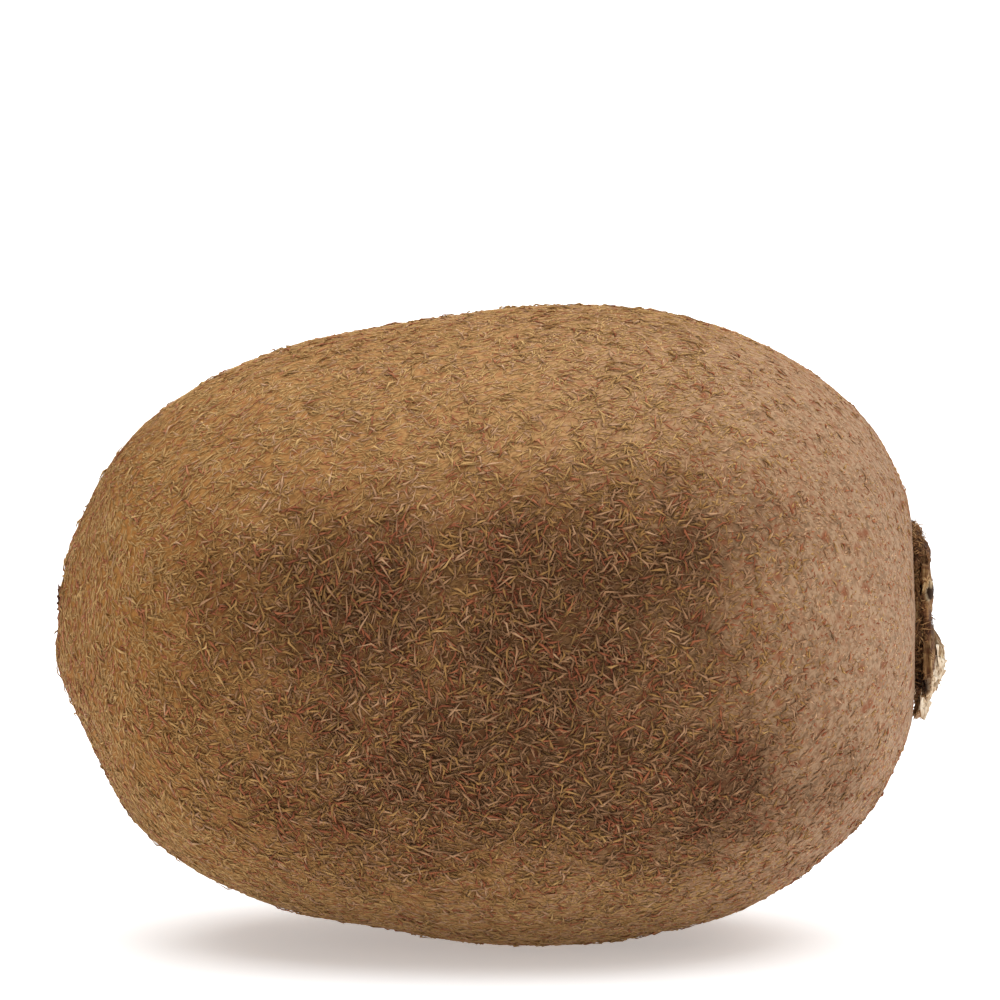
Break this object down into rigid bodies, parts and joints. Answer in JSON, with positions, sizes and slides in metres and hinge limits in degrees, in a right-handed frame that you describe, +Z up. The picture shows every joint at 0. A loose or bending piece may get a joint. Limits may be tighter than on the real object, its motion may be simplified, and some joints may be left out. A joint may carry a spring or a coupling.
{
  "type": "kiwifruit",
  "caption": "Whole unpeeled oval kiwifruit lying on its side, with a dried ragged calyx and torn stalk stub at one end and withered flower styles at the other.",
  "frame": {"origin": "on the surface the fruit rests on, below the middle of its bounding box", "axes": "+X along the fruit's long axis towards the stalk end, +Z up; the fruit lies on its side"},
  "size_m": [0.0706, 0.0528, 0.0503],
  "materials": {
    "skin": "matt brown fruit skin covered in short tan hairs, golden on top and at the blossom end, paler and pinkish at the stalk shoulder",
    "calyx": "matt, dried and papery, dark brown with lighter worn edges",
    "stalk": "matt, pale cream torn plant fibre",
    "styles": "matt, withered, very dark purple brown"
  },
  "bodies": {
    "root": {"fruit": "skin", "calyx": "calyx", "stalk_stub": "stalk", "style_crown": "styles"}
  },
  "joints": []
}
